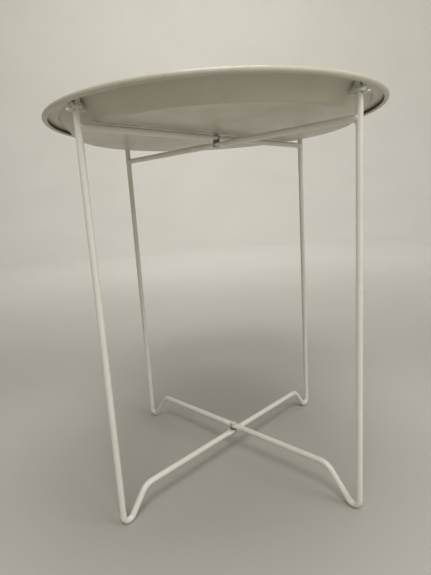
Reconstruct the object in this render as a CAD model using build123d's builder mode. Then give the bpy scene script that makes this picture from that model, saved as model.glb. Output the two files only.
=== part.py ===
from build123d import *
import os
from math import asin, cos, radians, sin, tan

# Folding tray table. Millimetres, +Z up, origin on the floor at the middle of the foot print.
# The outer frame lies in the XZ plane, the inner frame in the YZ plane, a quarter turn open.

os.makedirs("parts", exist_ok=True)

# ---- overall ----
TABLE_H = 511.5             # floor to the top of the tray's rim
TRAY_R = 225.0

# ---- tray ----
SHEET_T = 1.0
TRAY_DEPTH = 23.3           # rim top to the floor's underside
WALL_DEG = 52.0             # wall's rise from the level
FLOOR_BEND_R = 9.0          # underside radius between floor and wall
FLANGE_BEND_R = 3.0         # underside radius between wall and flange
HEM_R = 3.4                 # outer radius of the rolled edge
HEM_TURN = 225.0            # degrees the edge is rolled, leaving an open slot inward

# ---- rod frames ----
ROD_D = 8.0                 # bent and straight steel rod
FOOT_BEND_R = 8.0           # centre-line radius of the foot
KNEE_BEND_R = 20.0          # centre-line radius where the foot turns into the lower bar
KNEE_STUB = 0.5             # straight bit of bar kept with each foot
SLANT_DEG = 52.0            # rise of the short slope between foot and bar
LOWER_BAR_Z = 37.6          # outer frame's lower bar axis
BAR_GAP = 1.0               # clearance between crossing rods, seen from the side
TRAY_GAP = 2.2              # outer upper bar to the tray floor's underside

# ---- flattened crossing ----
FLAT_T = 5.0                # rod thickness where it is pressed flat
FLAT_HALF = 11.0            # flat land each side of the middle
FLAT_RUN = 8.0              # length of the slope back to full round
SWELL = 2.3                 # how far the pressed metal stands out beyond the rod's side
FLAT_EDGE_R = 1.6           # rounding of the swelling's edge

# ---- rivets and spacers ----
RIVET_R = 2.5
RIVET_RUN_GAP = 0.05        # radial running clearance in the inner frame
END_GAP = 0.10              # axial clearance of the turning flat
HEAD_LIP = 2.4              # head beyond the shank
HEAD_H = 2.6
HEAD_RIM_H = 0.9            # straight rim under the domed head
TAIL_LIP = 1.8              # upset tail beyond the shank
TAIL_H = 1.6
TAIL_EDGE_R = 0.9
SPACER_LIP = 2.1            # spacer beyond the shank
SPACER_EDGE_R = 0.3

# ---- weld beads ----
WELD_REACH = 3.2            # bead's length along the bar
WELD_LIP = 2.0              # bead beyond the rod where it meets the leg
WELD_TAPER = 0.5            # how much of that lip is gone at the leg's face
WELD_OVER = 3.0             # bead blank carried past the leg's face before it is coped

# ---- leg clips ----
HEM_CLEAR = 0.2             # clip to the rolled edge
WALL_CLEAR = 0.4            # clip's web to the bend between wall and flange
REST_GAP = 0.05             # web top to the flange's underside
SOCKET_GAP = 0.05           # leg end in its socket
OUT_WALL = 2.5              # clip wall outside the leg
IN_WALL = 1.0               # clip wall inside the leg
CLIP_H = 13.3               # base underside to the flange's underside
BASE_T = 2.2
BASE_HALF_W = 2.8
BASE_IN = 11.3              # base's reach from the leg's axis towards the tray's wall
BASE_OUT = 11.8             # base's reach from the leg's axis under the rolled edge
BASE_END_R = 1.6            # rounding of the base's ends, seen from above
BASE_EDGE_R = 0.6
COLLAR_WALL = 2.7           # collar beyond the leg's side
COLLAR_LIFT = 1.6           # collar's rim above the base's underside
COLLAR_H = 3.6
COLLAR_EDGE_R = 0.9
ROOF_T = 1.3                # collar left above the leg's end
WEB_SET = 1.4               # web's inner face behind the collar's inner side
WEB_T = 3.7
WEB_HALF_W = 3.8
LUG_T = 4.2
LUG_HALF_W = 3.0
LUG_H = 2.6
LUG_EDGE_R = 1.2
BURIED = 0.95               # depth that the web and lug are carried into the collar

# ---- sizes that follow from the ones above ----
ROD_R = ROD_D / 2
BAR_STEP = ROD_D + BAR_GAP
FLOOR_UNDER_Z = TABLE_H - TRAY_DEPTH
FLANGE_UNDER_Z = TABLE_H - SHEET_T
HEM_CENTRE_R = TRAY_R - HEM_R
HEM_CENTRE_Z = TABLE_H - HEM_R
HEM_IN_R = HEM_R - SHEET_T
CLIP_OUT_R = TRAY_R - 2 * HEM_R - HEM_CLEAR
LEG_RADIUS = CLIP_OUT_R - OUT_WALL - ROD_R
CLIP_IN_R = LEG_RADIUS - ROD_R - IN_WALL
WEB_IN_R = CLIP_IN_R + WEB_SET
WALL_TOP_R = WEB_IN_R - WALL_CLEAR - FLANGE_BEND_R * tan(radians(WALL_DEG / 2))
WALL_FOOT_R = WALL_TOP_R - (FLANGE_UNDER_Z - FLOOR_UNDER_Z) / tan(radians(WALL_DEG))
SHEET_SHIFT = SHEET_T * tan(radians(WALL_DEG / 2))
CLIP_FOOT_Z = FLANGE_UNDER_Z - CLIP_H
COLLAR_R = ROD_R + COLLAR_WALL
COLLAR_TOP_Z = CLIP_FOOT_Z + COLLAR_LIFT + COLLAR_H
LEG_TOP_Z = COLLAR_TOP_Z - ROOF_T - SOCKET_GAP
HALF_BEND = (90.0 - SLANT_DEG) / 2
FOOT_APEX_Z = ROD_R + FOOT_BEND_R - FOOT_BEND_R / tan(radians(HALF_BEND))
KNEE_RUN = KNEE_BEND_R * tan(radians(SLANT_DEG / 2)) + KNEE_STUB
INNER_LOWER_Z = LOWER_BAR_Z + BAR_STEP
UPPER_BAR_Z = FLOOR_UNDER_Z - TRAY_GAP - ROD_R
INNER_UPPER_Z = UPPER_BAR_Z - BAR_STEP
FLAT_LONG_R = FLAT_HALF + FLAT_RUN
FLAT_WIDE_R = ROD_R + SWELL
SPACER_H = BAR_STEP - FLAT_T - END_GAP
HEAD_R = RIVET_R + HEAD_LIP
TAIL_R = RIVET_R + TAIL_LIP
SPACER_R = RIVET_R + SPACER_LIP
WELD_WIDE_R = ROD_R + WELD_LIP


def knee_radius(bar_z):
    """Radius at which the foot's slope meets the lower bar's line."""
    return LEG_RADIUS - (bar_z - FOOT_APEX_Z) / tan(radians(SLANT_DEG))


def swelling(bar_plane, bar_z):
    """Metal pushed out sideways where the bar is pressed flat."""
    along, across = (FLAT_LONG_R, FLAT_WIDE_R)
    if bar_plane == Plane.YZ:
        along, across = across, along
    with BuildPart() as swell:
        with BuildSketch(Plane.XY.offset(bar_z - FLAT_T / 2)):
            Ellipse(along, across)
        extrude(amount=FLAT_T)
        fillet(swell.edges(), FLAT_EDGE_R)
    return swell.part


def jaws(bar_plane, bar_z, hole_r):
    """What the press takes off above and below the bar's middle, with the rivet hole."""
    top, under = bar_z + FLAT_T / 2, bar_z - FLAT_T / 2
    reach = FLAT_HALF + 2 * FLAT_RUN
    rise = ROD_D - FLAT_T
    with BuildPart() as press:
        with BuildSketch(bar_plane):
            with BuildLine():
                Polyline((-FLAT_HALF, top), (FLAT_HALF, top), (reach, top + rise),
                         (reach, top + ROD_D), (-reach, top + ROD_D), (-reach, top + rise),
                         close=True)
            make_face()
            with BuildLine():
                Polyline((-FLAT_HALF, under), (FLAT_HALF, under), (reach, under - rise),
                         (reach, under - ROD_D), (-reach, under - ROD_D), (-reach, under - rise),
                         close=True)
            make_face()
        extrude(amount=ROD_D, both=True)
        with BuildSketch(Plane.XY.offset(bar_z - ROD_D)):
            Circle(hole_r)
        extrude(amount=2 * ROD_D)
    return press.part


def leg_and_foot(bar_plane, bar_z, side):
    """Leg, foot and slope up to where the lower bar runs straight, on one side of the table."""
    knee = knee_radius(bar_z)
    with BuildPart() as leg:
        with BuildLine(bar_plane) as run:
            FilletPolyline((side * LEG_RADIUS, LEG_TOP_Z), (side * LEG_RADIUS, FOOT_APEX_Z),
                           (side * knee, bar_z), (side * (knee - KNEE_RUN), bar_z),
                           radius=(FOOT_BEND_R, KNEE_BEND_R))
        with BuildSketch(Plane(origin=run.line @ 0, z_dir=run.line % 0)):
            Circle(ROD_R)
        sweep(path=run.line)
    return leg.part


def lower_bar(bar_plane, bar_z, hole_r):
    """Straight middle of the bent rod, pressed flat and bored where the frames cross."""
    half = knee_radius(bar_z) - KNEE_RUN
    along = Vector(1, 0, 0) if bar_plane == Plane.XZ else Vector(0, 1, 0)
    with BuildPart() as bar:
        with BuildSketch(Plane(origin=Vector(0, 0, bar_z) - along * half, z_dir=along)):
            Circle(ROD_R)
        extrude(amount=2 * half)
    return bar.part + swelling(bar_plane, bar_z) - jaws(bar_plane, bar_z, hole_r)


def bent_rod(bar_plane, bar_z, hole_r):
    """One rod bent leg, foot, lower bar, foot, leg: three solids that meet face to face."""
    lengths = [leg_and_foot(bar_plane, bar_z, -1), lower_bar(bar_plane, bar_z, hole_r),
               leg_and_foot(bar_plane, bar_z, 1)]
    return Compound([length.solid() for length in lengths])


def cross_bar(bar_plane, bar_z, hole_r):
    """Straight rod between the legs, its ends coped to them and carrying the weld beads."""
    along = Vector(1, 0, 0) if bar_plane == Plane.XZ else Vector(0, 1, 0)
    with BuildPart() as bar:
        half = LEG_RADIUS - ROD_R / 2
        with BuildSketch(Plane(origin=Vector(0, 0, bar_z) - along * half, z_dir=along)):
            Circle(ROD_R)
        extrude(amount=2 * half)
        for side in (-1, 1):
            face = Vector(0, 0, bar_z) + along * (side * (LEG_RADIUS - ROD_R + WELD_OVER))
            with BuildSketch(Plane(origin=face, z_dir=along * -side)):
                Circle(WELD_WIDE_R)
            with BuildSketch(Plane(origin=face, z_dir=along * -side).offset(WELD_OVER)):
                Circle(WELD_WIDE_R - WELD_TAPER)
            with BuildSketch(Plane(origin=face, z_dir=along * -side).offset(WELD_OVER + WELD_REACH)):
                Circle(ROD_R)
            loft(ruled=True)
        for side in (-1, 1):
            foot = along * (side * LEG_RADIUS) + Vector(0, 0, bar_z - 2 * ROD_D)
            with BuildSketch(Plane(origin=foot, z_dir=(0, 0, 1))):
                Circle(ROD_R)
            extrude(amount=4 * ROD_D, mode=Mode.SUBTRACT)
            past = along * (side * (LEG_RADIUS + ROD_D)) + Vector(0, 0, bar_z - 2 * ROD_D)
            with BuildSketch(Plane(origin=past, z_dir=(0, 0, 1))):
                Rectangle(2 * ROD_D, 2 * ROD_D)
            extrude(amount=4 * ROD_D, mode=Mode.SUBTRACT)
    return bar.part + swelling(bar_plane, bar_z) - jaws(bar_plane, bar_z, hole_r)


def rivet(under_z, over_z):
    """Domed rivet: head above over_z, upset tail below under_z."""
    dome_h = HEAD_H - HEAD_RIM_H
    dome_r = (HEAD_R ** 2 + dome_h ** 2) / (2 * dome_h)
    half_way = asin(HEAD_R / dome_r) / 2
    head_z = over_z + HEAD_H
    with BuildPart() as pin:
        with BuildSketch(Plane.XZ):
            with BuildLine():
                Polyline((0, head_z), (0, under_z - TAIL_H), (TAIL_R, under_z - TAIL_H),
                         (TAIL_R, under_z), (RIVET_R, under_z), (RIVET_R, over_z),
                         (HEAD_R, over_z), (HEAD_R, over_z + HEAD_RIM_H))
                ThreePointArc((HEAD_R, over_z + HEAD_RIM_H),
                              (dome_r * sin(half_way), head_z - dome_r * (1 - cos(half_way))),
                              (0, head_z))
            make_face()
        revolve(axis=Axis.Z)
        fillet(pin.faces().sort_by(Axis.Z)[0].edges(), TAIL_EDGE_R)
    return pin.part


def spacer(under_z):
    """Round washer between two crossing bars."""
    with BuildPart() as ring:
        with BuildSketch(Plane.XY.offset(under_z)):
            Circle(SPACER_R)
            Circle(RIVET_R, mode=Mode.SUBTRACT)
        extrude(amount=SPACER_H)
        fillet(ring.edges().filter_by(GeomType.CIRCLE).group_by(SortBy.RADIUS)[-1], SPACER_EDGE_R)
    return ring.part


def leg_clip(turn):
    """Moulded clip on a leg's end, placed on the +X leg and turned about the table's axis."""
    with BuildPart() as clip:
        with BuildSketch(Plane.XY.offset(CLIP_FOOT_Z)):
            with Locations((LEG_RADIUS + (BASE_OUT - BASE_IN) / 2, 0)):
                RectangleRounded(BASE_IN + BASE_OUT, 2 * BASE_HALF_W, BASE_END_R)
        extrude(amount=BASE_T)
        fillet(clip.faces().filter_by(Axis.Z).edges(), BASE_EDGE_R)
    with BuildPart() as collar:
        with BuildSketch(Plane.XY.offset(CLIP_FOOT_Z + COLLAR_LIFT)):
            with Locations((LEG_RADIUS, 0)):
                Circle(COLLAR_R)
        extrude(amount=COLLAR_H)
        fillet(collar.faces().sort_by(Axis.Z)[-1].edges(), COLLAR_EDGE_R)
    with BuildPart() as web:
        with BuildSketch(Plane.XY.offset(COLLAR_TOP_Z - BURIED)):
            with Locations((WEB_IN_R + WEB_T / 2, 0)):
                Rectangle(WEB_T, 2 * WEB_HALF_W)
        extrude(amount=FLANGE_UNDER_Z - REST_GAP - COLLAR_TOP_Z + BURIED)
    with BuildPart() as lug:
        with BuildSketch(Plane.XY.offset(COLLAR_TOP_Z - BURIED)):
            with Locations((CLIP_OUT_R - LUG_T / 2, 0)):
                Rectangle(LUG_T, 2 * LUG_HALF_W)
        extrude(amount=LUG_H + BURIED)
        fillet(lug.faces().sort_by(Axis.Z)[-1].edges(), LUG_EDGE_R)
    with BuildPart() as socket:
        with BuildSketch(Plane.XY.offset(CLIP_FOOT_Z - ROD_R)):
            with Locations((LEG_RADIUS, 0)):
                Circle(ROD_R + SOCKET_GAP)
        extrude(amount=LEG_TOP_Z + SOCKET_GAP - CLIP_FOOT_Z + ROD_R)
    whole = clip.part + collar.part + web.part + lug.part - socket.part
    return whole.rotate(Axis.Z, turn)


# Tray: one round pressing with a sloped wall, a flat flange and a rolled-under edge.
with BuildPart() as tray:
    with BuildSketch(Plane.XZ):
        with BuildLine():
            under = FilletPolyline((0, FLOOR_UNDER_Z), (WALL_FOOT_R, FLOOR_UNDER_Z),
                                   (WALL_TOP_R, FLANGE_UNDER_Z), (HEM_CENTRE_R, FLANGE_UNDER_Z),
                                   radius=(FLOOR_BEND_R, FLANGE_BEND_R))
            under_hem = CenterArc((HEM_CENTRE_R, HEM_CENTRE_Z), HEM_IN_R, 90, -HEM_TURN)
            over = FilletPolyline((0, FLOOR_UNDER_Z + SHEET_T),
                                  (WALL_FOOT_R - SHEET_SHIFT, FLOOR_UNDER_Z + SHEET_T),
                                  (WALL_TOP_R - SHEET_SHIFT, TABLE_H),
                                  (HEM_CENTRE_R, TABLE_H),
                                  radius=(FLOOR_BEND_R - SHEET_T, FLANGE_BEND_R + SHEET_T))
            over_hem = CenterArc((HEM_CENTRE_R, HEM_CENTRE_Z), HEM_R, 90, -HEM_TURN)
            Line(under_hem @ 1, over_hem @ 1)
            Line(under @ 0, over @ 0)
        make_face()
    revolve(axis=Axis.Z)
tray.part.label = "tray"
export_step(tray.part, "parts/tray.step")

# Outer frame, in the XZ plane: its holes hold the rivets tight.
outer_rod = bent_rod(Plane.XZ, LOWER_BAR_Z, RIVET_R)
outer_rod.label = "outer_rod"
export_step(outer_rod, "parts/outer_rod.step")

outer_bar = cross_bar(Plane.XZ, UPPER_BAR_Z, RIVET_R)
outer_bar.label = "outer_bar"
export_step(outer_bar, "parts/outer_bar.step")

# Inner frame, in the YZ plane: its holes turn on the rivets.
inner_rod = bent_rod(Plane.YZ, INNER_LOWER_Z, RIVET_R + RIVET_RUN_GAP)
inner_rod.label = "inner_rod"
export_step(inner_rod, "parts/inner_rod.step")

inner_bar = cross_bar(Plane.YZ, INNER_UPPER_Z, RIVET_R + RIVET_RUN_GAP)
inner_bar.label = "inner_bar"
export_step(inner_bar, "parts/inner_bar.step")

# Rivets on the table's axis: the lower one points its head up, the upper one too.
lower_rivet = rivet(LOWER_BAR_Z - FLAT_T / 2, INNER_LOWER_Z + FLAT_T / 2 + END_GAP)
lower_rivet.label = "lower_rivet"
export_step(lower_rivet, "parts/lower_rivet.step")

upper_rivet = rivet(INNER_UPPER_Z - FLAT_T / 2 - END_GAP, UPPER_BAR_Z + FLAT_T / 2)
upper_rivet.label = "upper_rivet"
export_step(upper_rivet, "parts/upper_rivet.step")

lower_spacer = spacer(LOWER_BAR_Z + FLAT_T / 2)
lower_spacer.label = "lower_spacer"
export_step(lower_spacer, "parts/lower_spacer.step")

upper_spacer = spacer(INNER_UPPER_Z + FLAT_T / 2 + END_GAP)
upper_spacer.label = "upper_spacer"
export_step(upper_spacer, "parts/upper_spacer.step")

# One clip on each leg, under the tray's flange.
for clip_name, clip_turn in (("outer_clip_right", 0), ("inner_clip_back", 90),
                             ("outer_clip_left", 180), ("inner_clip_front", 270)):
    leg_end = leg_clip(clip_turn)
    leg_end.label = clip_name
    export_step(leg_end, f"parts/{clip_name}.step")
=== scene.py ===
import math
import bmesh
import bpy
from mathutils import Matrix, Vector


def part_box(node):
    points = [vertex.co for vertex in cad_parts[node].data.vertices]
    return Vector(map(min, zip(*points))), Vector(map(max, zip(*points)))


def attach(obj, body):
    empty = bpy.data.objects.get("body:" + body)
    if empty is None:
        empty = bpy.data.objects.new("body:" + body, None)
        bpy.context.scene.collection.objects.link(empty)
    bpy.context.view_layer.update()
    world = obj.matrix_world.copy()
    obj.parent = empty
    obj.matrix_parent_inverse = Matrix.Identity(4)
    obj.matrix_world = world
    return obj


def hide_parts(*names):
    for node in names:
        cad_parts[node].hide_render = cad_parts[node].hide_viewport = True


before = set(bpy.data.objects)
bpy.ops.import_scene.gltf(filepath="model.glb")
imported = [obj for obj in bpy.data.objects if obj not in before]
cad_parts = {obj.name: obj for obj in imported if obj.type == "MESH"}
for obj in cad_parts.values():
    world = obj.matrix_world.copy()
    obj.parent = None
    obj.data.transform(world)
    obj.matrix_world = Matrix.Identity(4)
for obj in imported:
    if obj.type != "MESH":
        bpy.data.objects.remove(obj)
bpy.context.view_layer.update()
MM = 0.001

# ---------------------------------------------------------------- sizes, mostly from the frame
tray_low, tray_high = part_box("tray")
RIM_R, RIM_TOP = tray_high.x, tray_high.z
TRAY_UNDER = tray_low.z
LEG_ROD_R = 4.0 * MM            # every leg and bar is the same round rod
BAR_STEP = 9.0 * MM             # from one crossing bar's middle to the other's
HEAD_H, TAIL_H = 2.6 * MM, 1.6 * MM     # of a rivet, as is the shank
SHANK_R = 2.5 * MM
OUTER_LEG_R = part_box("outer_rod")[1].x - LEG_ROD_R
INNER_LEG_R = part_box("inner_rod")[1].y - LEG_ROD_R
LEG_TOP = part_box("outer_rod")[1].z
lower_head, upper_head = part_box("lower_rivet"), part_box("upper_rivet")
spacer_low, spacer_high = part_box("lower_spacer")
upper_spacer_low, upper_spacer_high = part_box("upper_spacer")
FLAT_T = 5.0 * MM               # a bar's thickness where it is pressed flat
OUTER_LOWER_Z = spacer_low.z - FLAT_T / 2
INNER_LOWER_Z = OUTER_LOWER_Z + BAR_STEP
OUTER_UPPER_Z = upper_spacer_high.z + FLAT_T / 2
INNER_UPPER_Z = OUTER_UPPER_Z - BAR_STEP

# ---------------------------------------------------------------- node helpers


def feed(tree, made, inputs):
    """Give each named input a value or a link."""
    for key, value in inputs.items():
        socket = made.inputs[key]
        if isinstance(value, bpy.types.NodeSocket):
            tree.links.new(value, socket)
        else:
            socket.default_value = value


def add(tree, kind, inputs=None, **settings):
    """One node with its settings made and its inputs fed."""
    made = tree.nodes.new(kind)
    for name, value in settings.items():
        setattr(made, name, value)
    feed(tree, made, inputs or {})
    return made


def sum_of(tree, operation, *values):
    """One maths node's result."""
    return add(tree, "ShaderNodeMath", dict(enumerate(values)), operation=operation).outputs[0]


def shape_tree(name, sizes):
    """An empty geometry tree with one named input for each size, and its group input."""
    tree = bpy.data.node_groups.new(name, "GeometryNodeTree")
    tree.interface.new_socket("Geometry", in_out="INPUT", socket_type="NodeSocketGeometry")
    for size, kind in sizes.items():
        tree.interface.new_socket(size, in_out="INPUT", socket_type="NodeSocket" + kind)
    tree.interface.new_socket("Material", in_out="INPUT", socket_type="NodeSocketMaterial")
    tree.interface.new_socket("Geometry", in_out="OUTPUT", socket_type="NodeSocketGeometry")
    return tree, tree.nodes.new("NodeGroupInput").outputs


def end_tree(tree, geometry, given):
    """Smooth faces, real meshes and the finish, at the tree's end."""
    smooth = add(tree, "GeometryNodeSetShadeSmooth", {"Geometry": geometry})
    real = add(tree, "GeometryNodeRealizeInstances", {"Geometry": smooth.outputs[0]})
    done = add(tree, "GeometryNodeSetMaterial",
               {"Geometry": real.outputs[0], "Material": given["Material"]})
    feed(tree, tree.nodes.new("NodeGroupOutput"), {"Geometry": done.outputs[0]})


def run_tree(name, tree, start_mesh, sizes, finish):
    """Run a tree on a start mesh and keep the result as a plain mesh object."""
    helper = bpy.data.objects.new(name + "_helper", start_mesh)
    bpy.context.scene.collection.objects.link(helper)
    modifier = helper.modifiers.new("shape", "NODES")
    modifier.node_group = tree
    for item in tree.interface.items_tree:
        if item.in_out == "INPUT" and item.name in sizes:
            modifier[item.identifier] = sizes[item.name]
        elif item.in_out == "INPUT" and item.name == "Material":
            modifier[item.identifier] = finish
    bpy.context.view_layer.update()
    evaluated = helper.evaluated_get(bpy.context.evaluated_depsgraph_get())
    mesh = bpy.data.meshes.new_from_object(evaluated)
    bpy.data.objects.remove(helper)
    mesh.name = name
    if not mesh.materials:
        mesh.materials.append(finish)
    piece = bpy.data.objects.new(name, mesh)
    bpy.context.scene.collection.objects.link(piece)
    return piece


def line_mesh(name, points, bends=None):
    """A chain of points and edges; bends gives each point's bend radius."""
    mesh = bpy.data.meshes.new(name)
    mesh.from_pydata([tuple(p) for p in points], [(i, i + 1) for i in range(len(points) - 1)], [])
    if bends:
        mesh.attributes.new("bend", "FLOAT", "POINT").data.foreach_set("value", bends)
    return mesh


def faces_out(piece):
    """Join the seam's doubled points and turn every face outwards."""
    work = bmesh.new()
    work.from_mesh(piece.data)
    bmesh.ops.remove_doubles(work, verts=work.verts, dist=1e-7)
    bmesh.ops.dissolve_degenerate(work, edges=work.edges, dist=1e-7)
    bmesh.ops.recalc_face_normals(work, faces=work.faces)
    work.to_mesh(piece.data)
    work.free()
    return piece


def stands_for(piece, body, slot, *nodes):
    """Ride on a body and stand for CAD nodes, whose parts are hidden. slot is not used."""
    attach(piece, body)
    if nodes:
        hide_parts(*nodes)


# ---------------------------------------------------------------- finishes


def finish_start(name, colour, **surface):
    """A new finish, its tree, its shader and the place on the piece that patterns follow."""
    made = bpy.data.materials.new(name)
    made.use_nodes = True
    made.diffuse_color = (*colour, 1)
    tree = made.node_tree
    shader = tree.nodes["Principled BSDF"]
    for socket, value in surface.items():
        shader.inputs[socket.replace("_", " ").title().replace("Ior", "IOR")].default_value = value
    place = add(tree, "ShaderNodeTexCoord").outputs["Object"]
    return made, tree, shader, place


def noise(tree, place, per_metre, detail=3.0, roughness=0.5):
    """Cloudy noise with that many lumps to the metre."""
    return add(tree, "ShaderNodeTexNoise", {"Vector": place, "Scale": per_metre,
                                            "Detail": detail, "Roughness": roughness}).outputs["Fac"]


def spread(tree, value, low, high, to_low=0.0, to_high=1.0):
    """A smooth step from to_low to to_high, as a value goes from low to high."""
    return add(tree, "ShaderNodeMapRange",
               {"Value": value, "From Min": low, "From Max": high, "To Min": to_low, "To Max": to_high},
               interpolation_type="SMOOTHSTEP").outputs[0]


def tint(tree, how_much, first, second):
    """Mixes two colours, which are links or plain values."""
    mix = add(tree, "ShaderNodeMix", data_type="RGBA")
    for key, value in ((0, how_much), (6, first), (7, second)):
        if isinstance(value, bpy.types.NodeSocket):
            tree.links.new(value, mix.inputs[key])
        elif key:
            mix.inputs[key].default_value = (*value, 1)
        else:
            mix.inputs[key].default_value = value
    return mix.outputs[2]


# Colours of painted shade: the first darkens tight corners, the second the rivet heads' lower edge and
# the bars round the rivets.
CORNER_SHADE, RIVET_DIRT = (0.055, 0.050, 0.042), (0.07, 0.063, 0.052)
RUBBED_COAT, COAT_SPECK = (0.33, 0.31, 0.27), (0.42, 0.39, 0.32)


def painted_corner_shade(tree, body, reach, strength):
    """Darkens a colour in tight corners by ambient occlusion: painted shade where the corners fall in
    shade.
    """
    open_air = add(tree, "ShaderNodeAmbientOcclusion", {"Distance": reach}, samples=8).outputs["AO"]
    return tint(tree, spread(tree, open_air, 0.10, 0.75, strength, 0.0), body, CORNER_SHADE)


def powder_coat(name, colour, shade, rough, wear_foot=None, wear_edge=None, peel=1.0, gloss=0.12,
                crevice=None, shade_ring=None, corners=0.0, swing=0.06):
    """Baked powder coat: fine orange peel and faint mottling.

    It is rubbed upwards from the height wear_foot, or out towards the radius wear_edge. Painted
    shade darkens it at a crevice, given by its height, inside a shade ring round the rivets, given
    by its radius, and in tight corners. swing is how far the roughness goes each way."""
    made, tree, shader, place = finish_start(name, colour, coat_weight=gloss, coat_roughness=0.12,
                                             specular_ior_level=0.42)
    mottle = spread(tree, noise(tree, place, 14.0, 4.0), 0.35, 0.65)
    body = tint(tree, mottle, shade, colour)
    specks = spread(tree, noise(tree, place, 700.0, 2.0), 0.74, 0.82)
    body = tint(tree, sum_of(tree, "MULTIPLY", specks, 0.05), body, COAT_SPECK)
    height = add(tree, "ShaderNodeSeparateXYZ", {0: place}).outputs[2]
    level = add(tree, "ShaderNodeVectorMath", {0: place, 1: (1.0, 1.0, 0.0)}, operation="MULTIPLY")
    out = add(tree, "ShaderNodeVectorMath", {0: level.outputs[0]}, operation="LENGTH").outputs["Value"]
    scuffs = spread(tree, noise(tree, place, 260.0, 5.0, 0.65), 0.52, 0.66)
    rubbed = None
    if wear_foot is not None:
        rubbed = spread(tree, height, wear_foot, wear_foot + 10.0 * MM, 1.0, 0.0)
    elif wear_edge is not None:
        rubbed = spread(tree, out, wear_edge - 2.5 * MM, wear_edge, 0.0, 0.5)
    smear = spread(tree, noise(tree, place, 34.0, 5.0, 0.6), 0.38, 0.70, rough - swing, rough + swing)
    if rubbed is not None:
        rubbed = sum_of(tree, "MULTIPLY", rubbed, scuffs)
        body = tint(tree, sum_of(tree, "MULTIPLY", rubbed, 0.55), body, RUBBED_COAT)
        smear = sum_of(tree, "ADD", smear, sum_of(tree, "MULTIPLY", rubbed, 0.22))
    # Painted shade: darkens the coat in a band at a given height, or inside a ring round the rivets,
    # and roughens it a little there.
    away = None
    if crevice is not None:
        away = sum_of(tree, "ABSOLUTE", sum_of(tree, "SUBTRACT", height, crevice))
    elif shade_ring is not None:
        away = sum_of(tree, "SUBTRACT", out, shade_ring)
    if away is not None:
        ragged = sum_of(tree, "ADD", away, sum_of(tree, "MULTIPLY", scuffs, -0.2 * MM))
        shade_mask = spread(tree, ragged, 0.15 * MM, 0.75 * MM, 1.0, 0.0)
        body = tint(tree, sum_of(tree, "MULTIPLY", shade_mask, 0.6), body, RIVET_DIRT)
        smear = sum_of(tree, "ADD", smear, sum_of(tree, "MULTIPLY", shade_mask, 0.25))
    # Painted shade in tight corners, by ambient occlusion.
    if corners:
        body = painted_corner_shade(tree, body, 9.0 * MM, corners)
    tree.links.new(body, shader.inputs["Base Color"])
    tree.links.new(smear, shader.inputs["Roughness"])
    peel_height = noise(tree, place, 620.0, 1.5, 0.45)
    bump = add(tree, "ShaderNodeBump", {"Strength": 0.16 * peel, "Distance": 0.35 * MM,
                                        "Height": peel_height})
    tree.links.new(bump.outputs[0], shader.inputs["Normal"])
    return made


def moulded_plastic(name, colour, shade, rough):
    """Moulded clip plastic: faint spark texture, a slightly yellowed skin and painted shade in tight
    corners.
    """
    made, tree, shader, place = finish_start(name, colour, subsurface_weight=0.04,
                                             subsurface_scale=0.002, specular_ior_level=0.45)
    aged = spread(tree, noise(tree, place, 120.0, 3.0), 0.35, 0.7)
    # Painted shade in the clip's tight corners.
    body = painted_corner_shade(tree, tint(tree, aged, colour, shade), 4.0 * MM, 0.8)
    tree.links.new(body, shader.inputs["Base Color"])
    tree.links.new(spread(tree, noise(tree, place, 700.0, 2.0), 0.3, 0.7, rough - 0.06, rough + 0.08),
                   shader.inputs["Roughness"])
    bump = add(tree, "ShaderNodeBump", {"Strength": 0.25, "Distance": 0.10 * MM,
                                        "Height": noise(tree, place, 2600.0, 2.0)})
    tree.links.new(bump.outputs[0], shader.inputs["Normal"])
    return made


# The tray's coat is the rods' paint made darker and warmer: painted shade for its shaded underside and
# painted warm bounce light. It also gets painted shade in tight corners.
tray_coat_shaded = powder_coat("tray_powder_coat_shaded", (0.57, 0.54, 0.45), (0.54, 0.508, 0.418), 0.38,
                        wear_edge=RIM_R, gloss=0.04, corners=0.75)
# The rod coat gets painted shade on the bars inside a ring just wider than the rivet heads.
rod_coat = powder_coat("rod_powder_coat", (0.80, 0.785, 0.715), (0.765, 0.745, 0.665), 0.30,
                       wear_foot=0.0, peel=0.3, shade_ring=lower_head[1].x, swing=0.015)
# The washers are near black: painted shade for the dark gap between the crossing bars.
washer_gap_shade = powder_coat("washer_painted_gap_shade", (0.17, 0.165, 0.15), (0.13, 0.125, 0.115), 0.42, peel=1.2)
clip_plastic = moulded_plastic("clip_plastic", (0.70, 0.70, 0.64), (0.66, 0.64, 0.55), 0.42)

# ---------------------------------------------------------------- turned pieces


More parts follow.
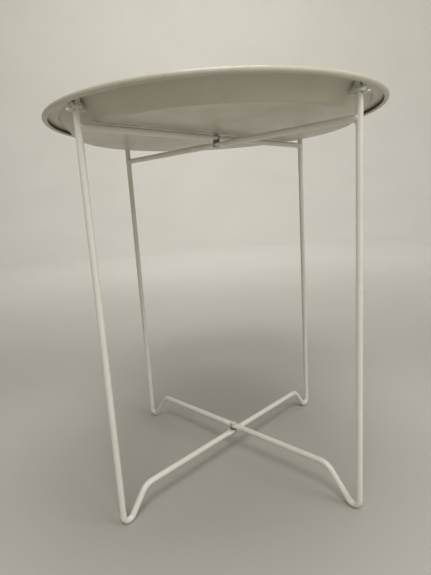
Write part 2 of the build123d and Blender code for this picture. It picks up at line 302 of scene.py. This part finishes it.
def turned_tree():
    """Turns a profile, drawn as a chain of points in the XZ plane, once round the upright axis."""
    tree, given = shape_tree("turned_piece", {"Steps": "Int", "Profile Points": "Int"})
    rows = sum_of(tree, "ADD", given["Steps"], 1.0)
    grid = add(tree, "GeometryNodeMeshGrid",
               {"Vertices X": rows, "Vertices Y": given["Profile Points"]})
    index = add(tree, "GeometryNodeInputIndex").outputs[0]
    place = add(tree, "GeometryNodeInputPosition").outputs[0]
    along = sum_of(tree, "MODULO", index, given["Profile Points"])
    around = sum_of(tree, "FLOOR", sum_of(tree, "DIVIDE", sum_of(tree, "ADD", index, 0.25),
                                          given["Profile Points"]))
    angle = sum_of(tree, "MULTIPLY", sum_of(tree, "DIVIDE", around, given["Steps"]), 2 * math.pi)
    picked = add(tree, "GeometryNodeSampleIndex", {"Geometry": given["Geometry"], "Value": place,
                                                   "Index": along}, data_type="FLOAT_VECTOR")
    parts = add(tree, "ShaderNodeSeparateXYZ", {0: picked.outputs[0]}).outputs
    spot = add(tree, "ShaderNodeCombineXYZ",
               {0: sum_of(tree, "MULTIPLY", parts[0], sum_of(tree, "COSINE", angle)),
                1: sum_of(tree, "MULTIPLY", parts[0], sum_of(tree, "SINE", angle)), 2: parts[2]})
    moved = add(tree, "GeometryNodeSetPosition",
                {"Geometry": grid.outputs[0], "Position": spot.outputs[0]})
    welded = add(tree, "GeometryNodeMergeByDistance", {"Geometry": moved.outputs[0], "Distance": 1e-6})
    end_tree(tree, welded.outputs[0], given)
    return tree


TURNED = turned_tree()


def arc(centre, radius, start_deg, turn_deg, steps):
    """Points of an arc in the profile plane, as (radius, height) pairs."""
    return [(centre[0] + radius * math.cos(math.radians(start_deg + turn_deg * i / steps)),
             centre[1] + radius * math.sin(math.radians(start_deg + turn_deg * i / steps)))
            for i in range(steps + 1)]


def bend(before, corner, after, radius, steps):
    """Round one corner of a profile: the points of the arc that touches both its sides."""
    corner = Vector(corner)
    one, two = (Vector(before) - corner).normalized(), (Vector(after) - corner).normalized()
    half = one.angle(two) / 2
    centre = corner + (one + two).normalized() * radius / math.sin(half)
    first, last = corner + one * radius / math.tan(half), corner + two * radius / math.tan(half)
    start, end = first - centre, last - centre
    turn = start.angle_signed(end)
    return [tuple(centre + Matrix.Rotation(-turn * i / steps, 2) @ start) for i in range(steps + 1)]


def turned_piece(name, profile, steps, finish):
    """A closed piece turned from (radius, height) pairs, whose ends meet or lie on the axis."""
    mesh = line_mesh(name + "_profile", [(r, 0.0, z) for r, z in profile])
    sizes = {"Steps": steps, "Profile Points": len(profile)}
    return faces_out(run_tree(name, TURNED, mesh, sizes, finish))


def tray_profile():
    """The sheet's outline: underside from the middle out, round the rolled edge and back on top."""
    sheet, hem, turn = 1.0 * MM, 3.4 * MM, 232.0
    floor_bend, flange_bend = 9.0 * MM, 3.0 * MM
    slope = math.radians(52.0)
    under_flange = RIM_TOP - sheet
    hem_centre = (RIM_R - hem, RIM_TOP - hem)
    wall_top = RIM_R - 18.96 * MM
    wall_foot = wall_top - (under_flange - TRAY_UNDER) / math.tan(slope)
    shift = sheet * math.tan(slope / 2)
    under_corners = [(0.0, TRAY_UNDER), (wall_foot, TRAY_UNDER), (wall_top, under_flange),
                     (hem_centre[0], under_flange)]
    over_corners = [(0.0, TRAY_UNDER + sheet), (wall_foot - shift, TRAY_UNDER + sheet),
                    (wall_top - shift, RIM_TOP), (hem_centre[0], RIM_TOP)]
    floor_steps = [wall_foot * i / 24 for i in range(23)]
    under = [(r, TRAY_UNDER) for r in floor_steps] + bend(*under_corners[:3], floor_bend, 12)
    under += bend(*under_corners[1:], flange_bend, 8) + arc(hem_centre, hem - sheet, 90, -turn, 26)
    over = [(r, TRAY_UNDER + sheet) for r in floor_steps]
    over += bend(*over_corners[:3], floor_bend - sheet, 12)
    over += bend(*over_corners[1:], flange_bend + sheet, 8) + arc(hem_centre, hem, 90, -turn, 26)
    middle = math.radians(90 - turn)
    lip = Vector(hem_centre) + (hem - sheet / 2) * Vector((math.cos(middle), math.sin(middle)))
    edge = arc(lip, sheet / 2, math.degrees(middle) + 180, 180, 6)[1:-1]
    return under + edge + over[::-1]


tray = turned_piece("tray_pan", tray_profile(), 300, tray_coat_shaded)
stands_for(tray, "tray", "tray_paint", "tray")


def rivet_profile(box):
    """Head with a crisp lower edge and a low dome, straight shank, upset tail."""
    head_r, low, high = box[1].x, box[0].z, box[1].z
    head_low, tail_top = high - HEAD_H, low + TAIL_H
    rim, crisp, tail_edge = 0.9 * MM, 0.22 * MM, 0.8 * MM
    rise = HEAD_H - rim
    dome_r = (head_r ** 2 + rise ** 2) / (2 * rise)
    sweep = math.degrees(math.asin(head_r / dome_r))
    dome = arc((0.0, high - dome_r), dome_r, 90, -sweep, 14)
    tail_r = head_r - 0.6 * MM
    dimple = [(0.0, low + 0.55 * MM), (1.0 * MM, low + 0.42 * MM), (1.7 * MM, low + 0.08 * MM)]
    foot = dimple + arc((tail_r - tail_edge, low + tail_edge), tail_edge, -90, 90, 6)
    neck = arc((tail_r - crisp, tail_top - crisp), crisp, 0, 90, 3)
    neck += [(SHANK_R, tail_top), (SHANK_R, head_low)]
    lip = arc((head_r - crisp, head_low + crisp), crisp, -90, 90, 3)
    return foot + neck + lip + dome[::-1]


# Each rivet head's coat gets painted shade in a band along the head's lower edge.
for name, node, box in (("lower_rivet_head", "lower_rivet", lower_head),
                        ("upper_rivet_head", "upper_rivet", upper_head)):
    coat = powder_coat(node + "_coat", (0.72, 0.69, 0.60), (0.60, 0.57, 0.48), 0.34, peel=1.4,
                       crevice=box[1].z - HEAD_H)
    piece = turned_piece(name, rivet_profile(box), 48, coat)
    stands_for(piece, "outer_frame", "rivet_paint", node)


def washer_profile(low, high, outer, inner):
    """A flat ring whose outer edges are rounded."""
    edge = 0.35 * MM
    return ([(inner, low.z), (outer - edge, low.z)]
            + arc((outer - edge, low.z + edge), edge, -90, 90, 4)
            + arc((outer - edge, high.z - edge), edge, 0, 90, 4)
            + [(inner, high.z), (inner, low.z)])


for name, node, low, high in (("lower_washer", "lower_spacer", spacer_low, spacer_high),
                              ("upper_washer", "upper_spacer", upper_spacer_low, upper_spacer_high)):
    piece = turned_piece(name, washer_profile(low, high, high.x, SHANK_R + 0.02 * MM), 48, washer_gap_shade)
    stands_for(piece, "outer_frame", "rivet_paint", node)

# ---------------------------------------------------------------- rods


def rod_tree():
    """A round rod along a chain of points: bends rounded, middle pressed flat, turned to its plane."""
    tree, given = shape_tree("bent_rod", {"Rod Radius": "Float", "Ring Step": "Float", "Sides": "Int",
                                          "Press Height": "Float", "Flat Thickness": "Float",
                                          "Press Half": "Float", "Press Run": "Float",
                                          "Swell": "Float", "Flare Start": "Float",
                                          "Flare End": "Float", "Flare": "Float", "Turn": "Rotation"})
    curve = add(tree, "GeometryNodeMeshToCurve", {"Mesh": given["Geometry"]})
    radius = add(tree, "GeometryNodeInputNamedAttribute", {"Name": "bend"}, data_type="FLOAT")
    bent = add(tree, "GeometryNodeFilletCurve", {"Curve": curve.outputs[0], "Count": 28,
                                                 "Radius": radius.outputs[0]}, mode="POLY")
    even = add(tree, "GeometryNodeResampleCurve", {"Curve": bent.outputs[0],
                                                   "Length": given["Ring Step"]}, mode="LENGTH")
    ring = add(tree, "GeometryNodeCurvePrimitiveCircle", {"Resolution": given["Sides"],
                                                          "Radius": given["Rod Radius"]})
    tube = add(tree, "GeometryNodeCurveToMesh", {"Curve": even.outputs[0],
                                                 "Profile Curve": ring.outputs[0], "Fill Caps": True})
    place = add(tree, "GeometryNodeInputPosition").outputs[0]
    parts = add(tree, "ShaderNodeSeparateXYZ", {0: place}).outputs
    far = sum_of(tree, "ADD", given["Press Half"], given["Press Run"])
    pressed = add(tree, "ShaderNodeMapRange",
                  {"Value": sum_of(tree, "ABSOLUTE", parts[0]), "From Min": given["Press Half"],
                   "From Max": far, "To Min": 1.0, "To Max": 0.0}, interpolation_type="SMOOTHSTEP")
    pressed = pressed.outputs[0]
    up = sum_of(tree, "SUBTRACT", parts[2], given["Press Height"])
    half = sum_of(tree, "DIVIDE", given["Flat Thickness"], 2.0)
    capped = add(tree, "ShaderNodeClamp", {"Value": up, "Min": sum_of(tree, "MULTIPLY", half, -1.0),
                                           "Max": half}).outputs[0]
    change = sum_of(tree, "MULTIPLY", sum_of(tree, "SUBTRACT", capped, up), pressed)
    wider = sum_of(tree, "MULTIPLY", sum_of(tree, "MULTIPLY", parts[1], given["Swell"]), pressed)
    near_leg = add(tree, "ShaderNodeMapRange",
                   {"Value": sum_of(tree, "ABSOLUTE", parts[0]), "From Min": given["Flare Start"],
                    "From Max": given["Flare End"]}, interpolation_type="LINEAR").outputs[0]
    grown = sum_of(tree, "MULTIPLY", sum_of(tree, "POWER", near_leg, 2.0), given["Flare"])
    wider = sum_of(tree, "ADD", wider, sum_of(tree, "MULTIPLY", parts[1], grown))
    change = sum_of(tree, "ADD", change, sum_of(tree, "MULTIPLY", up, grown))
    shift = add(tree, "ShaderNodeCombineXYZ", {1: wider, 2: change})
    flat = add(tree, "GeometryNodeSetPosition",
               {"Geometry": tube.outputs[0], "Offset": shift.outputs[0]})
    turned = add(tree, "GeometryNodeTransform",
                 {"Geometry": flat.outputs[0], "Rotation": given["Turn"]})
    end_tree(tree, turned.outputs[0], given)
    return tree


ROD = rod_tree()
NO_TURN, QUARTER = (0.0, 0.0, 0.0), (0.0, 0.0, math.pi / 2)
# The middle is pressed flat; the flare starts past any rod's end, so there is none unless asked for.
PRESS = {"Rod Radius": LEG_ROD_R, "Ring Step": 1.6 * MM, "Sides": 32, "Flat Thickness": FLAT_T,
         "Press Half": 10.5 * MM, "Press Run": 9.5 * MM, "Swell": 0.31,
         "Flare Start": 10.0, "Flare End": 11.0, "Flare": 0.0}


def rod_piece(name, points, bends, height, turn, finish, **more):
    """A rod with its middle pressed flat at the given height; more sets any other size of the tree."""
    sizes = dict(PRESS, **{"Press Height": height, "Turn": turn}, **more)
    return faces_out(run_tree(name, ROD, line_mesh(name + "_line", points, bends), sizes, finish))


def bent_frame(name, leg_r, bar_z, turn):
    """Leg, V foot, lower bar, V foot, leg, all one rod."""
    foot_r, knee_r, slope = 8.0 * MM, 20.0 * MM, math.radians(52.0)
    apex = LEG_ROD_R + foot_r - foot_r / math.tan((math.pi / 2 - slope) / 2)
    knee = leg_r - (bar_z - apex) / math.tan(slope)
    half = [(knee, bar_z), (leg_r, apex), (leg_r, LEG_TOP)]
    points = [(-r, 0.0, z) for r, z in half[::-1]] + [(r, 0.0, z) for r, z in half]
    bends = [0.0, foot_r, knee_r, knee_r, foot_r, 0.0]
    return rod_piece(name, points, bends, bar_z, turn, rod_coat)


outer_rod = bent_frame("outer_bent_rod", OUTER_LEG_R, OUTER_LOWER_Z, NO_TURN)
inner_rod = bent_frame("inner_bent_rod", INNER_LEG_R, INNER_LOWER_Z, QUARTER)
stands_for(outer_rod, "outer_frame", "frame_paint", "outer_rod")
stands_for(inner_rod, "inner_frame", "frame_paint", "inner_rod")


def weld_tree():
    """Two beads that run round the joints of an upright leg and a level bar of the same rod."""
    tree, given = shape_tree("weld_beads", {"Rod Radius": "Float", "Leg Place": "Float",
                                            "Bar Height": "Float", "Bead Radius": "Float",
                                            "Ripple": "Float", "Turn": "Rotation"})
    ring = add(tree, "GeometryNodeCurvePrimitiveCircle", {"Resolution": 120, "Radius": 1.0})
    place = add(tree, "GeometryNodeInputPosition").outputs[0]
    parts = add(tree, "ShaderNodeSeparateXYZ", {0: place}).outputs
    over = sum_of(tree, "MULTIPLY", given["Rod Radius"], 1.17)
    side = sum_of(tree, "MULTIPLY", parts[0], over)
    lift = sum_of(tree, "ADD", sum_of(tree, "MULTIPLY", parts[1], over), given["Bar Height"])
    wide = sum_of(tree, "MULTIPLY", over, 1.01)
    reach = sum_of(tree, "SQRT", sum_of(tree, "SUBTRACT", sum_of(tree, "MULTIPLY", wide, wide),
                                        sum_of(tree, "MULTIPLY", side, side)))
    out = sum_of(tree, "SUBTRACT", given["Leg Place"], reach)
    path = add(tree, "GeometryNodeSetPosition", {"Geometry": ring.outputs[0], "Position": add(
        tree, "ShaderNodeCombineXYZ", {0: out, 1: side, 2: lift}).outputs[0]})
    turn = add(tree, "GeometryNodeSplineParameter").outputs["Factor"]
    wave = sum_of(tree, "SINE", sum_of(tree, "MULTIPLY", turn, 2 * math.pi * 17))
    thick = sum_of(tree, "ADD", sum_of(tree, "MULTIPLY", wave, given["Ripple"]), 1.0)
    section = add(tree, "GeometryNodeCurvePrimitiveCircle",
                  {"Resolution": 14, "Radius": given["Bead Radius"]})
    bead = add(tree, "GeometryNodeCurveToMesh",
               {"Curve": path.outputs[0], "Profile Curve": section.outputs[0], "Scale": thick})
    other = add(tree, "GeometryNodeTransform",
                {"Geometry": bead.outputs[0], "Rotation": (0, 0, math.pi)})
    both = add(tree, "GeometryNodeJoinGeometry")
    tree.links.new(bead.outputs[0], both.inputs[0])
    tree.links.new(other.outputs[0], both.inputs[0])
    turned = add(tree, "GeometryNodeTransform",
                 {"Geometry": both.outputs[0], "Rotation": given["Turn"]})
    end_tree(tree, turned.outputs[0], given)
    return tree


WELD = weld_tree()


def cross_bar(name, leg_r, bar_z, turn, body, node):
    """The straight bar under the tray with a weld bead at each end."""
    end, leg_face = leg_r - LEG_ROD_R / 2, leg_r - LEG_ROD_R
    flare = {"Flare Start": leg_face - 3.4 * MM, "Flare End": leg_face, "Flare": 0.32,
             "Ring Step": 0.8 * MM}
    points = [(-end, 0.0, bar_z), (end, 0.0, bar_z)]
    bar = rod_piece(name, points, [0.0, 0.0], bar_z, turn, rod_coat, **flare)
    stands_for(bar, body, "frame_paint", node)
    sizes = {"Rod Radius": LEG_ROD_R, "Leg Place": leg_r, "Bar Height": bar_z,
             "Bead Radius": 0.85 * MM, "Ripple": 0.10, "Turn": turn}
    seed = line_mesh(name + "_seed", [(0, 0, 0)])
    stands_for(faces_out(run_tree(name + "_welds", WELD, seed, sizes, rod_coat)), body, "frame_paint")


cross_bar("outer_top_bar", OUTER_LEG_R, OUTER_UPPER_Z, NO_TURN, "outer_frame", "outer_bar")
cross_bar("inner_top_bar", INNER_LEG_R, INNER_UPPER_Z, QUARTER, "inner_frame", "inner_bar")

# ---------------------------------------------------------------- clips on the legs' ends


def block(work, near, far, half, low, high):
    """A square-cornered block: near and far along the radius, half its width, low and high."""
    made = bmesh.ops.create_cube(work, size=1.0)["verts"]
    for vert in made:
        vert.co.x = near + (vert.co.x + 0.5) * (far - near)
        vert.co.y *= 2 * half
        vert.co.z = low + (vert.co.z + 0.5) * (high - low)


def drum(work, centre, radius, low, high):
    """An upright round block."""
    made = bmesh.ops.create_cone(work, cap_ends=True, segments=64, radius1=radius, radius2=radius,
                                 depth=high - low)["verts"]
    bmesh.ops.translate(work, verts=made, vec=(centre, 0.0, (low + high) / 2))


def skin(name, work, voxel):
    """One closed skin round everything that was put in, as a mesh object."""
    bmesh.ops.recalc_face_normals(work, faces=work.faces)
    mesh = bpy.data.meshes.new(name)
    work.to_mesh(mesh)
    work.free()
    made = bpy.data.objects.new(name, mesh)
    bpy.context.scene.collection.objects.link(made)
    remesh = made.modifiers.new("one_skin", "REMESH")
    remesh.mode, remesh.voxel_size = "VOXEL", voxel
    return made


COLLAR_R = 6.7 * MM
COLLAR_LOW, COLLAR_TOP = 1.6 * MM, 5.2 * MM                         # heights above the clip's foot
FOOT_BAR_T, FOOT_BAR_HALF = 2.1 * MM, 2.7 * MM
FOOT_TIP_R, FOOT_TIP_IN = 1.35 * MM, 1.3 * MM
SOCKET_GAP = 0.05 * MM
# Each rib: its near and far side from the leg's axis, half its width, and its low and high side
# from the collar's top.
WEB = (-3.6 * MM, 2.2 * MM, 3.9 * MM, -0.8 * MM, None)              # goes on up to the tray
HEEL = (-5.3 * MM, -2.4 * MM, 3.9 * MM, -1.2 * MM, 3.0 * MM)        # thickens the web's foot
LUG = (2.0 * MM, 6.7 * MM, 3.1 * MM, -0.8 * MM, 2.5 * MM)           # low, on the outer side


def one_clip(leg_r, low, high):
    """Collar over the leg's end on a bar that spans the ring, a web up to the tray and a lug."""
    foot, collar_top = low.z, low.z + COLLAR_TOP
    work = bmesh.new()
    drum(work, leg_r, COLLAR_R, foot + COLLAR_LOW, collar_top)
    for end in (low.x, high.x):
        tip = end + math.copysign(FOOT_TIP_IN, leg_r - end)
        block(work, min(tip, leg_r), max(tip, leg_r), FOOT_BAR_HALF, foot, foot + FOOT_BAR_T)
        drum(work, tip, FOOT_TIP_R, foot, foot + FOOT_BAR_T)
    for near, far, half, down, up in (WEB, HEEL, LUG):
        rib_top = high.z if up is None else collar_top + up
        block(work, leg_r + near, leg_r + far, half, collar_top + down, rib_top)
    solid = skin("leg_clip_helper", work, 0.22 * MM)
    hole = bmesh.new()
    drum(hole, leg_r, LEG_ROD_R + SOCKET_GAP, foot - 2 * MM, LEG_TOP + SOCKET_GAP)
    drill = skin("socket_helper", hole, 0.2 * MM)
    drill.modifiers.clear()
    soft = solid.modifiers.new("soft_edges", "SMOOTH")
    soft.factor, soft.iterations = 0.5, 4
    cut = solid.modifiers.new("socket", "BOOLEAN")
    cut.operation, cut.object, cut.solver = "DIFFERENCE", drill, "EXACT"
    thin = solid.modifiers.new("fewer_faces", "DECIMATE")
    thin.ratio = 0.30
    bpy.context.view_layer.update()
    made = bpy.data.meshes.new_from_object(solid.evaluated_get(bpy.context.evaluated_depsgraph_get()))
    bpy.data.objects.remove(solid)
    bpy.data.objects.remove(drill)
    return made


def pair_tree():
    """Sets one clip on the leg at each end of a frame."""
    tree, given = shape_tree("clips_on_legs", {"Turn": "Rotation"})
    spots = add(tree, "GeometryNodeMeshLine", {"Count": 2, "Offset": (0.0, 0.0, 0.0)})
    index = add(tree, "GeometryNodeInputIndex").outputs[0]
    half_turn = add(tree, "ShaderNodeCombineXYZ", {2: sum_of(tree, "MULTIPLY", index, math.pi)})
    clips = add(tree, "GeometryNodeInstanceOnPoints",
                {"Points": spots.outputs[0], "Instance": given["Geometry"],
                 "Rotation": half_turn.outputs[0]})
    turned = add(tree, "GeometryNodeTransform",
                 {"Geometry": clips.outputs[0], "Rotation": given["Turn"]})
    end_tree(tree, turned.outputs[0], given)
    return tree


PAIR = pair_tree()
clip_low, clip_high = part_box("outer_clip_right")
clip_mesh = one_clip(OUTER_LEG_R, clip_low, clip_high)
for name, turn, body, nodes in (("outer_leg_clips", NO_TURN, "outer_frame",
                                 ("outer_clip_left", "outer_clip_right")),
                                ("inner_leg_clips", QUARTER, "inner_frame",
                                 ("inner_clip_front", "inner_clip_back"))):
    clips = run_tree(name, PAIR, clip_mesh.copy(), {"Turn": turn}, clip_plastic)
    stands_for(clips, body, "clip_plastic", *nodes)

# ---------------------------------------------------------------- studio


FLOOR_Z = -0.5 * MM             # the floor lies a hair under the feet


def flat_finish(name, colour, rough):
    """Plain paper with faint clouding."""
    made, tree, shader, place = finish_start(name, colour, roughness=rough)
    body = tint(tree, spread(tree, noise(tree, place, 2.2, 3.0), 0.3, 0.7), colour,
                tuple(c * 0.97 for c in colour))
    tree.links.new(body, shader.inputs["Base Color"])
    return made


def studio_bowl(floor_r, wall_r, wall_h):
    """A pale floor that curves up into a pale wall all round."""
    profile = [(floor_r * i / 6, FLOOR_Z) for i in range(6)]
    profile += arc((floor_r, wall_r - floor_r), wall_r - floor_r, -90, 90, 16)
    profile = [(r, max(z, FLOOR_Z)) for r, z in profile] + [(wall_r, wall_h)]
    mesh = line_mesh("bowl_profile", [(r, 0.0, z) for r, z in profile])
    bowl = run_tree("studio_floor", TURNED, mesh, {"Steps": 96, "Profile Points": len(profile)},
                    flat_finish("studio_paper", (0.45, 0.43, 0.385), 0.95))


studio_bowl(3.2, 5.2, 4.4)


def soft_light(name, place, aim, side, power):
    """A square softbox that faces the point it is aimed at."""
    lamp = bpy.data.lights.new(name, "AREA")
    lamp.shape, lamp.size, lamp.size_y, lamp.energy = "RECTANGLE", side, side, power
    made = bpy.data.objects.new(name, lamp)
    bpy.context.scene.collection.objects.link(made)
    made.location = place
    made.rotation_euler = (Vector(aim) - Vector(place)).to_track_quat("-Z", "Y").to_euler()


# The first three light the table, and the washes light the wall all round it.
soft_light("overhead_softbox", (0.1, -0.1, 2.3), (0.0, 0.0, 0.3), 0.9, 18.0)
soft_light("key_softbox", (0.35, -2.4, 1.7), (0.0, 0.0, 0.25), 1.6, 25.0)
soft_light("high_front_softbox", (-1.2, -1.1, 2.4), (0.0, 0.0, 0.2), 0.9, 28.0)
soft_light("backdrop_wash", (1.2, 1.2, 3.0), (3.9, 3.9, 1.3), 1.6, 150.0)
soft_light("side_wash", (-1.6, 1.2, 3.0), (-3.9, 3.0, 1.3), 1.6, 45.0)
soft_light("front_wash", (-1.6, -1.6, 3.0), (-3.9, -3.9, 1.6), 1.6, 55.0)
soft_light("far_side_wash", (1.6, -1.2, 3.0), (3.9, -3.4, 1.6), 1.6, 60.0)

world = bpy.data.worlds.new("studio_air")
bpy.context.scene.world = world
world.use_nodes = True
air = world.node_tree.nodes["Background"]
air.inputs["Color"].default_value = (0.95, 0.95, 0.93, 1)
air.inputs["Strength"].default_value = 0.16
bpy.context.scene.view_settings.view_transform = "Standard"

# ---------------------------------------------------------------- camera
EYE = Vector((-0.4635, -0.4362, 0.3936))
LOOK = Vector((0.6998, 0.6885, -0.1905))
ROLL = math.radians(-3.65)
camera_data = bpy.data.cameras.new("camera")
camera_data.sensor_fit, camera_data.sensor_width = "AUTO", 36.0
camera_data.lens = 27.23
camera_data.clip_start, camera_data.clip_end = 0.01, 30.0
camera = bpy.data.objects.new("camera", camera_data)
bpy.context.scene.collection.objects.link(camera)
camera.location = EYE
camera.rotation_mode = "QUATERNION"
facing = LOOK.to_track_quat("-Z", "Y").to_matrix() @ Matrix.Rotation(ROLL, 3, "Z")
camera.rotation_quaternion = facing.to_quaternion()
bpy.context.scene.camera = camera
